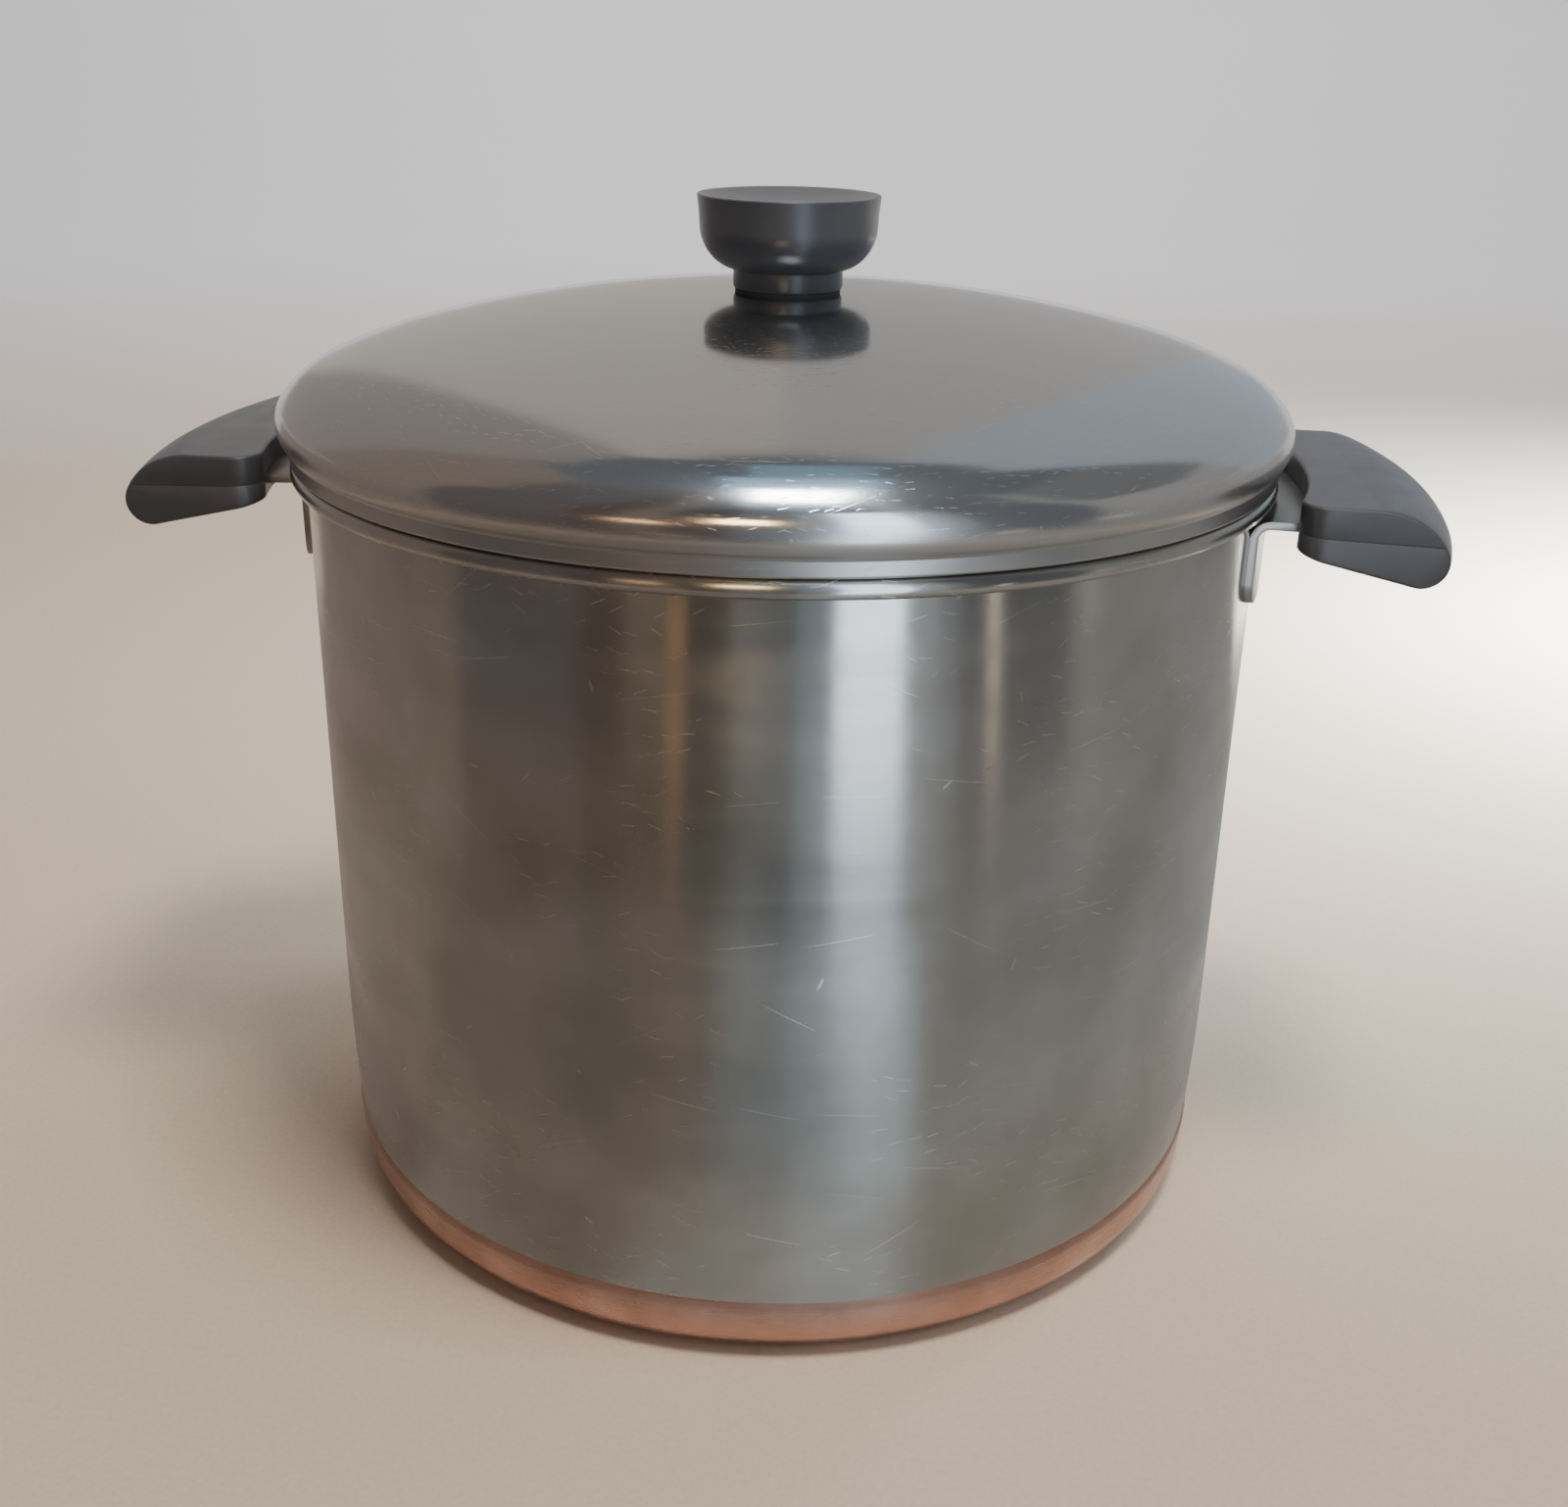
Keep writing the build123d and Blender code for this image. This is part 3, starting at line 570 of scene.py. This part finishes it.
cup_foot = knob_foot + knob_neck_height
bevel_top = knob_foot + knob_foot_bevel
bush_roof = bevel_top + knob_bush_length
dish_floor = knob_top - dish_depth
knob_wall = []
for centre, radius, start, sweep in smooth_arcs((knob_neck_radius, cup_foot), cup_start, cup_stops):
    knob_wall += bow(centre, radius, start, sweep)[1:]
dish_arc = smooth_arcs((dish_button_radius, dish_floor), 0.0, [(knob_radius - dish_land, knob_top)])[0]
knob_section = (
    [(0, bush_roof), (knob_bush_radius, bush_roof), (knob_bush_radius, knob_foot)]
    + [(knob_neck_radius - knob_edge, knob_foot), (knob_neck_radius, bevel_top)]
    + [(knob_neck_radius, cup_foot)]
    + knob_wall
    + [(knob_radius - knob_edge, knob_top)]
    + bow(*dish_arc, step=1.5)[::-1]
    + [(dish_button_radius - knob_edge, dish_floor + dish_button_height)]
    + [(0, dish_floor + dish_button_height)]
)
turned_piece("knob_moulding", knob_section, knob_finish, "lid", "lid_knob",
             steps=192, crease=24.0)

# ---- grips and brackets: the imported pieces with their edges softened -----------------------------
def softened_piece(node, width, finish, body):
    """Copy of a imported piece, merged, with fine rounded edges, in place of that node."""
    # faces this near to one plane are joined, edges over the second angle rounded, over the third sharp
    flat_within, edged_over, sharp_over = (math.radians(angle) for angle in (0.6, 42.0, 50.0))
    mesh = nodes[node].data.copy()
    work = bmesh.new()
    work.from_mesh(mesh)
    bmesh.ops.remove_doubles(work, verts=work.verts, dist=weld_gap * MM)
    bmesh.ops.dissolve_limit(work, angle_limit=flat_within, verts=work.verts, edges=work.edges)
    work.to_mesh(mesh)
    work.free()
    mesh.name = node + "_soft"
    mesh.materials.clear()
    mesh.materials.append(finish)
    mesh.shade_smooth()
    piece = bpy.data.objects.new(mesh.name, mesh)
    bpy.context.collection.objects.link(piece)
    edging = piece.modifiers.new("edging", "BEVEL")
    edging.width = width * MM
    edging.segments = 2
    edging.limit_method = "ANGLE"
    edging.angle_limit = edged_over
    freeze(piece)
    piece.data.set_sharp_from_angle(angle=sharp_over)
    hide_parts(node)
    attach(piece, body)


for side in ("left", "right"):
    softened_piece(side + "_grip_upper", grip_edge, grip_finish, "kettle")
    softened_piece(side + "_grip_lower", grip_edge, grip_finish, "kettle")
    softened_piece(side + "_bracket", bracket_edge, bracket_finish, "kettle")

# ---- finishes of the small pieces that keep their own solids -------------------------------------
kept_finishes = {
    "grip_screw": screw_finish, "grip_bush": brass_finish, "knob_screw": screw_finish,
    "knob_insert": brass_finish, "knob_washer": rubber_finish,
}
for name, piece in nodes.items():
    for word, finish in kept_finishes.items():
        if word in name:
            piece.data.materials.clear()
            piece.data.materials.append(finish)

# ---- camera at the photograph's place ------------------------------------------------------------
photo_width = 1600.0
focal_pixels = 1818.0
sensor_width = 36.0
camera_reach = 0.4444       # metres from the pot's axis
camera_height = 0.2868      # metres over the floor
grip_turn = math.radians(6.8)       # the line through the grips, against the camera's level line
heading = math.radians(0.16) - grip_turn        # the pot's axis stands just left of the middle
dip = math.radians(22.27)
tilt = math.radians(1.08)
ahead = Vector((math.sin(heading) * math.cos(dip), math.cos(heading) * math.cos(dip), -math.sin(dip)))
level = Vector((math.cos(heading), -math.sin(heading), 0.0))
above = level.cross(ahead)
rightward = math.cos(tilt) * level + math.sin(tilt) * above
crown = rightward.cross(ahead)
camera = bpy.data.objects.new("camera", bpy.data.cameras.new("camera"))
bpy.context.collection.objects.link(camera)
camera.data.sensor_width = sensor_width
camera.data.lens = focal_pixels / photo_width * sensor_width
camera.data.clip_start = 0.01
camera.matrix_world = Matrix.Translation(
    (camera_reach * math.sin(grip_turn), -camera_reach * math.cos(grip_turn), camera_height)
) @ Matrix((rightward, crown, -ahead)).transposed().to_4x4()
bpy.context.scene.camera = camera

# ---- plain studio: floor, soft lights and the boards that the metal mirrors; metres and degrees --
board_level = 0.19          # height that the boards' elevations are taken from, about the pot's rim
near_ring = 0.36            # the boards that the wall mirrors stand this far from the pot's axis,
far_ring = 1.6              # and those that the lid mirrors this far
board_step = 4.0            # a curved board's facets are about this wide


def studio_paint():
    """Pale matte board with a faint fleck: warmer underfoot, whiter where it stands up."""
    material, tree = new_material("pale studio board")
    where = put(tree, "ShaderNodeTexCoord").outputs["Object"]
    fleck = put(tree, "ShaderNodeTexNoise", {"Vector": where, "Scale": scale_for(1.43), "Detail": 3.0})
    lying = put(tree, "ShaderNodeMix", {0: fleck.outputs[0], 6: tint("c8b59d"), 7: tint("dac8b2")},
                data_type="RGBA")
    axes = put(tree, "ShaderNodeSeparateXYZ", {0: where})
    rise = put(tree, "ShaderNodeMapRange", {0: axes.outputs[2], 1: 0.0, 2: 0.12})
    shade = put(tree, "ShaderNodeMix", {0: rise.outputs[0], 6: lying.outputs[2], 7: tint("e6e6e8")},
                data_type="RGBA")
    paper = put(tree, "ShaderNodeBsdfPrincipled", {"Base Color": shade.outputs[2], "Roughness": 0.8})
    put(tree, "ShaderNodeOutputMaterial", {0: paper.outputs[0]})
    return material


def in_studio(x, y, z):
    """Point given to the right of the camera's line, away from the camera, and up."""
    across, along = math.cos(grip_turn), math.sin(grip_turn)
    return Vector((x * across - y * along, x * along + y * across, z))


def toward(azimuth, elevation, distance):
    """Point of the studio as seen from the pot: azimuth from the camera's side to the right."""
    turn, rise = math.radians(azimuth), math.radians(elevation)
    return in_studio(distance * math.sin(turn) * math.cos(rise),
                     -distance * math.cos(turn) * math.cos(rise),
                     board_level + distance * math.sin(rise))


def glow(name, colour, strength):
    """A board's plain glow."""
    material, tree = new_material(name)
    light = put(tree, "ShaderNodeEmission", {"Color": tint(colour), "Strength": strength})
    put(tree, "ShaderNodeOutputMaterial", {0: light.outputs[0]})
    return material


def toned_glow(name, sectors, soft):
    """A ring's glow that changes from sector to sector, over soft degrees each side.

    Each sector is given by the azimuth where it ends, its colour and its strength.
    """
    material, tree = new_material(name)
    axes = put(tree, "ShaderNodeSeparateXYZ", {0: put(tree, "ShaderNodeTexCoord").outputs["Object"]})
    share = put(tree, "ShaderNodeMapRange",
                {0: turn_from_front(tree, axes), 1: grip_turn - math.pi, 2: grip_turn + math.pi})
    tones = put(tree, "ShaderNodeValToRGB", {0: share.outputs[0]})
    spare = list(tones.color_ramp.elements)
    start = -180.0
    for end, colour, strength in sectors:
        for azimuth in (start + soft, end - soft):
            stop = tones.color_ramp.elements.new((azimuth + 180.0) / 360.0)
            stop.color = [strength * part for part in tint(colour)]
        start = end
    for stop in spare:
        tones.color_ramp.elements.remove(stop)
    light = put(tree, "ShaderNodeEmission", {"Color": tones.outputs[0]})
    put(tree, "ShaderNodeOutputMaterial", {0: light.outputs[0]})
    return material


def board(name, rows, material):
    """A board, from its rows of points, that only the shiny surfaces see."""
    columns = len(rows[0])
    faces = [(j * columns + i, j * columns + i + 1, (j + 1) * columns + i + 1, (j + 1) * columns + i)
             for j in range(len(rows) - 1) for i in range(columns - 1)]
    mesh = bpy.data.meshes.new(name)
    mesh.from_pydata([point for row in rows for point in row], [], faces)
    mesh.materials.append(material)
    made = bpy.data.objects.new(name, mesh)
    bpy.context.collection.objects.link(made)
    made.visible_camera = False
    made.visible_diffuse = False
    made.visible_shadow = False
    made.visible_transmission = False


def curved_board(name, azimuths, elevations, distance, material):
    """A board bent round the pot, as a soft light or a dark flag."""
    columns = max(1, round((azimuths[1] - azimuths[0]) / board_step))
    rows = max(1, round((elevations[1] - elevations[0]) / board_step))
    board(name, [[toward(azimuths[0] + (azimuths[1] - azimuths[0]) * i / columns,
                         elevations[0] + (elevations[1] - elevations[0]) * j / rows, distance)
                  for i in range(columns + 1)] for j in range(rows + 1)], material)


def flat_board(name, sides, depths, height, material):
    """A level board over the pot."""
    board(name, [[in_studio(x, y, height) for x in sides] for y in depths], material)


def floor_ring(name, reaches, height, material):
    """A level ring just over the floor, close round the pot's foot."""
    turns = [math.radians(azimuth) for azimuth in range(-180, 181, 2)]
    board(name, [[in_studio(reach * math.sin(turn), -reach * math.cos(turn), height) for turn in turns]
                 for reach in reaches], material)


def soft_light(name, place, aim, size, colour, power, spread=180.0):
    """A soft square light, not mirrored by the pot; place and aim as for in_studio."""
    lamp = bpy.data.lights.new(name, "AREA")
    lamp.size = size
    lamp.energy = power
    lamp.spread = math.radians(spread)
    lamp.color = tint(colour)[:3]
    made = bpy.data.objects.new(name, lamp)
    bpy.context.collection.objects.link(made)
    back = in_studio(*place) - in_studio(*aim)
    made.matrix_world = Matrix.Translation(in_studio(*place)) @ (
        back.to_track_quat("Z", "Y").to_matrix().to_4x4())
    made.visible_glossy = False
    made.visible_camera = False


def backdrop():
    """Floor that sweeps up all round into a low oval wall, nearest behind the pot; metres."""
    half_wide, half_deep, middle = 1.9, 1.6, -0.4
    corner, wall_top = 0.6, 1.1
    columns = 96
    section = [(corner - x, z) for x, z in bow((0.0, corner), corner, -90, 90, 6.0)] + [(0.0, wall_top)]
    points = [(0.0, middle, 0.0)]
    for inset, z in section:
        for i in range(columns):
            along, across = math.cos(math.tau * i / columns), math.sin(math.tau * i / columns)
            reach = 1.0 / math.hypot(along / half_wide, across / half_deep) - inset
            points.append((reach * along, middle + reach * across, z))
    faces = [(0, 1 + i, 1 + (i + 1) % columns) for i in range(columns)]
    for j in range(len(section) - 1):
        low = 1 + j * columns
        faces += [(low + i, low + columns + i, low + columns + (i + 1) % columns, low + (i + 1) % columns)
                  for i in range(columns)]
    mesh = bpy.data.meshes.new("studio_floor")
    mesh.from_pydata(points, [], faces)
    mesh.shade_smooth()
    mesh.materials.append(studio_paint())
    made = bpy.data.objects.new("studio_floor", mesh)
    bpy.context.collection.objects.link(made)


def studio_air():
    """World light: warm from the left, cool from the right, and pale where the camera sees it."""
    world = bpy.data.worlds.new("studio air")
    bpy.context.scene.world = world
    world.use_nodes = True
    tree = world.node_tree
    tree.nodes.clear()
    axes = put(tree, "ShaderNodeSeparateXYZ", {0: put(tree, "ShaderNodeTexCoord").outputs["Generated"]})
    side_share = put(tree, "ShaderNodeMapRange", {0: axes.outputs[0], 1: -0.7, 2: 0.7})
    tone = put(tree, "ShaderNodeMix", {0: side_share.outputs[0], 6: tint("8f683e"), 7: tint("d4e4f8")},
               data_type="RGBA")
    seen = put(tree, "ShaderNodeLightPath").outputs["Is Camera Ray"]
    shown = put(tree, "ShaderNodeMix", {0: seen, 6: tone.outputs[2], 7: tint("c6c6c9")}, data_type="RGBA")
    strength = put(tree, "ShaderNodeMapRange", {0: seen, 3: 0.3, 4: 1.2})
    air = put(tree, "ShaderNodeBackground", {"Color": shown.outputs[2], "Strength": strength.outputs[0]})
    put(tree, "ShaderNodeOutputWorld", {0: air.outputs[0]})


backdrop()
studio_air()
soft_light("top_light", place=(0.12, -0.26, 1.0), aim=(0.05, -0.1, 0.0), size=0.22,
           colour="fff4ec", power=8.0)
soft_light("cool_light", place=(1.1, -0.45, 0.8), aim=(0.1, 0.0, 0.1), size=0.8,
           colour="dcecff", power=4.8)
soft_light("cool_glow", place=(0.64, 0.46, 0.3), aim=(0.46, 0.42, 0.0), size=0.25,
           colour="e6f4ff", power=9.0, spread=90.0)
soft_light("wall_wash", place=(-0.1, 0.5, 0.9), aim=(-0.1, 1.1, 0.1), size=0.8,
           colour="f4f4f8", power=6.7)

# boards that stand round the pot: azimuths, top, colour and strength; the far ones are set wider
# than the near ones so that the two meet in the metal
outlook = 1.17
near_board_levels = (-20, 2)
upright_boards = (
    ("left_card", (-125, -66), 66, "958980", 1.0),
    ("left_flag", (-66, -38), 76, "6c6868", 1.0),
    ("brown_flag", (-38, -29), 76, "5f5551", 1.0),
    ("brown_strip", (-29, -21), 76, "857a72", 1.0),
    ("dark_flag", (-21, -9), 76, "555251", 1.0),
    ("cool_card", (-9, 3), 76, "83888c", 1.0),
    ("cool_edge", (3, 10.6), 76, "a4b2bf", 1.0),
    ("bright_strip", (10.6, 22.5), 50, "d8eaff", 5.6),
    ("pale_edge", (22.5, 29), 76, "cdd5dd", 1.0),
    ("grey_edge", (29, 33), 76, "a0a8b0", 1.0),
    ("right_flag", (33, 57), 76, "70737a", 1.0),
    ("right_card", (57, 120), 66, "afafae", 1.0),
)
for name, azimuths, top, colour, strength in upright_boards:
    shine = glow(name, colour, strength)
    curved_board(name, [outlook * azimuth for azimuth in azimuths], (0, top), far_ring, shine)
    curved_board(name + "_near", azimuths, near_board_levels, near_ring, shine)

# glowing rings that only the metal sees, painted with the floor's light from the right and the pot's shade
# on it: where each sector ends
whole_turn = (-180, 180)
outer_floor_painted_shade = (
    (-125, "aeaba8", 1.0), (-66, "9f8e83", 1.0), (-38, "8b7c74", 1.0), (-21, "796d64", 1.0),
    (-9, "6e6b6b", 1.0), (3, "788088", 1.0), (10.6, "a5b3be", 1.0), (22.5, "d8eaff", 1.5),
    (33, "c0c2c4", 1.0), (120, "afaead", 1.0), (180, "aeaba8", 1.0),
)
inner_floor_painted_shade = (
    (-125, "b2aeaa", 1.0), (-66, "a49488", 1.0), (-38, "93867b", 1.0), (-9, "8f857d", 1.0),
    (3, "98a1a8", 1.0), (10.6, "b7c5cd", 1.0), (22.5, "dbeef8", 1.1), (120, "b3b2b0", 1.0),
    (180, "b2aeaa", 1.0),
)
foot_floor_painted_shade = (
    (-150, "a8a29c", 1.0), (-60, "8e7e74", 1.0), (-20, "9c9086", 1.0), (2, "b2aca6", 1.0),
    (18, "c4c6c5", 1.0), (60, "b8b0a8", 1.0), (130, "b8b1aa", 1.0), (180, "a8a29c", 1.0),
)
# painted light and shade: the floor's lit and shaded tones, as glowing rings in place of the floor
curved_board("outer_floor_painted_shade", whole_turn, (-31, -20), near_ring, toned_glow("outer_floor_painted_shade", outer_floor_painted_shade, 1.5))
curved_board("inner_floor_painted_shade", whole_turn, (-47, -31), 0.25, toned_glow("inner_floor_painted_shade", inner_floor_painted_shade, 3.0))
floor_ring("foot_floor_painted_shade", (0.124, 0.172), 0.002, toned_glow("foot_floor_painted_shade", foot_floor_painted_shade, 4.0))

# a card, a lamp and its haze over the pot: left and right, near and far, height, colour, strength
overhead_boards = (
    ("overhead_card", (-0.5, 0.62), (-0.24, 0.4), 1.1, "6d737a", 1.0),
    ("lamp_haze_rear", (-0.06, 0.16), (0.0, 0.3), 1.095, "86a6be", 1.2),
    ("lamp_haze", (-0.12, 0.2), (-0.52, 0.0), 1.09, "86a6be", 2.5),
    ("overhead_lamp", (-0.07, 0.14), (-0.42, -0.22), 1.08, "f2f8ff", 32.0),
)
# glints, lamps and cards round it, the last four behind: azimuths, elevations, distance, colour, strength
round_boards = (
    ("warm_edge", (-21, -17.5), (-22, -15), 0.35, "f2bf90", 1.1),
    ("thin_glint", (39, 41), (-18, -13), 0.35, "fff0dc", 4.0),
    ("warm_lamp", (-13, -3), (14, 26), 1.3, "ffdca4", 17.0),
    ("warm_lamp_left", (-33, -24), (3, 10), 1.3, "ffc890", 4.0),
    ("bright_patch", (8.5, 19), (-18, -14), 0.228, "eef8ff", 7.5),
    ("right_glint", (59, 63), (-11, -8), 0.355, "f4f2ea", 2.0),
    ("right_high_card", (72, 140), (30, 66), 1.5, "808386", 1.0),
    ("rear_corner_card", (-151, -112), (2, 64), 0.97, "a19a94", 1.0),
    ("rear_left_card", (-180, -151), (2, 64), 0.97, "cac4bd", 1.0),
    ("rear_card", (-204, -180), (2, 64), 0.97, "bdbbba", 1.0),
    ("rear_right_card", (-248, -204), (2, 64), 0.97, "b6c1cb", 1.0),
)
for name, sides, depths, height, colour, strength in overhead_boards:
    flat_board(name, sides, depths, height, glow(name, colour, strength))
for name, azimuths, elevations, distance, colour, strength in round_boards:
    curved_board(name, azimuths, elevations, distance, glow(name, colour, strength))
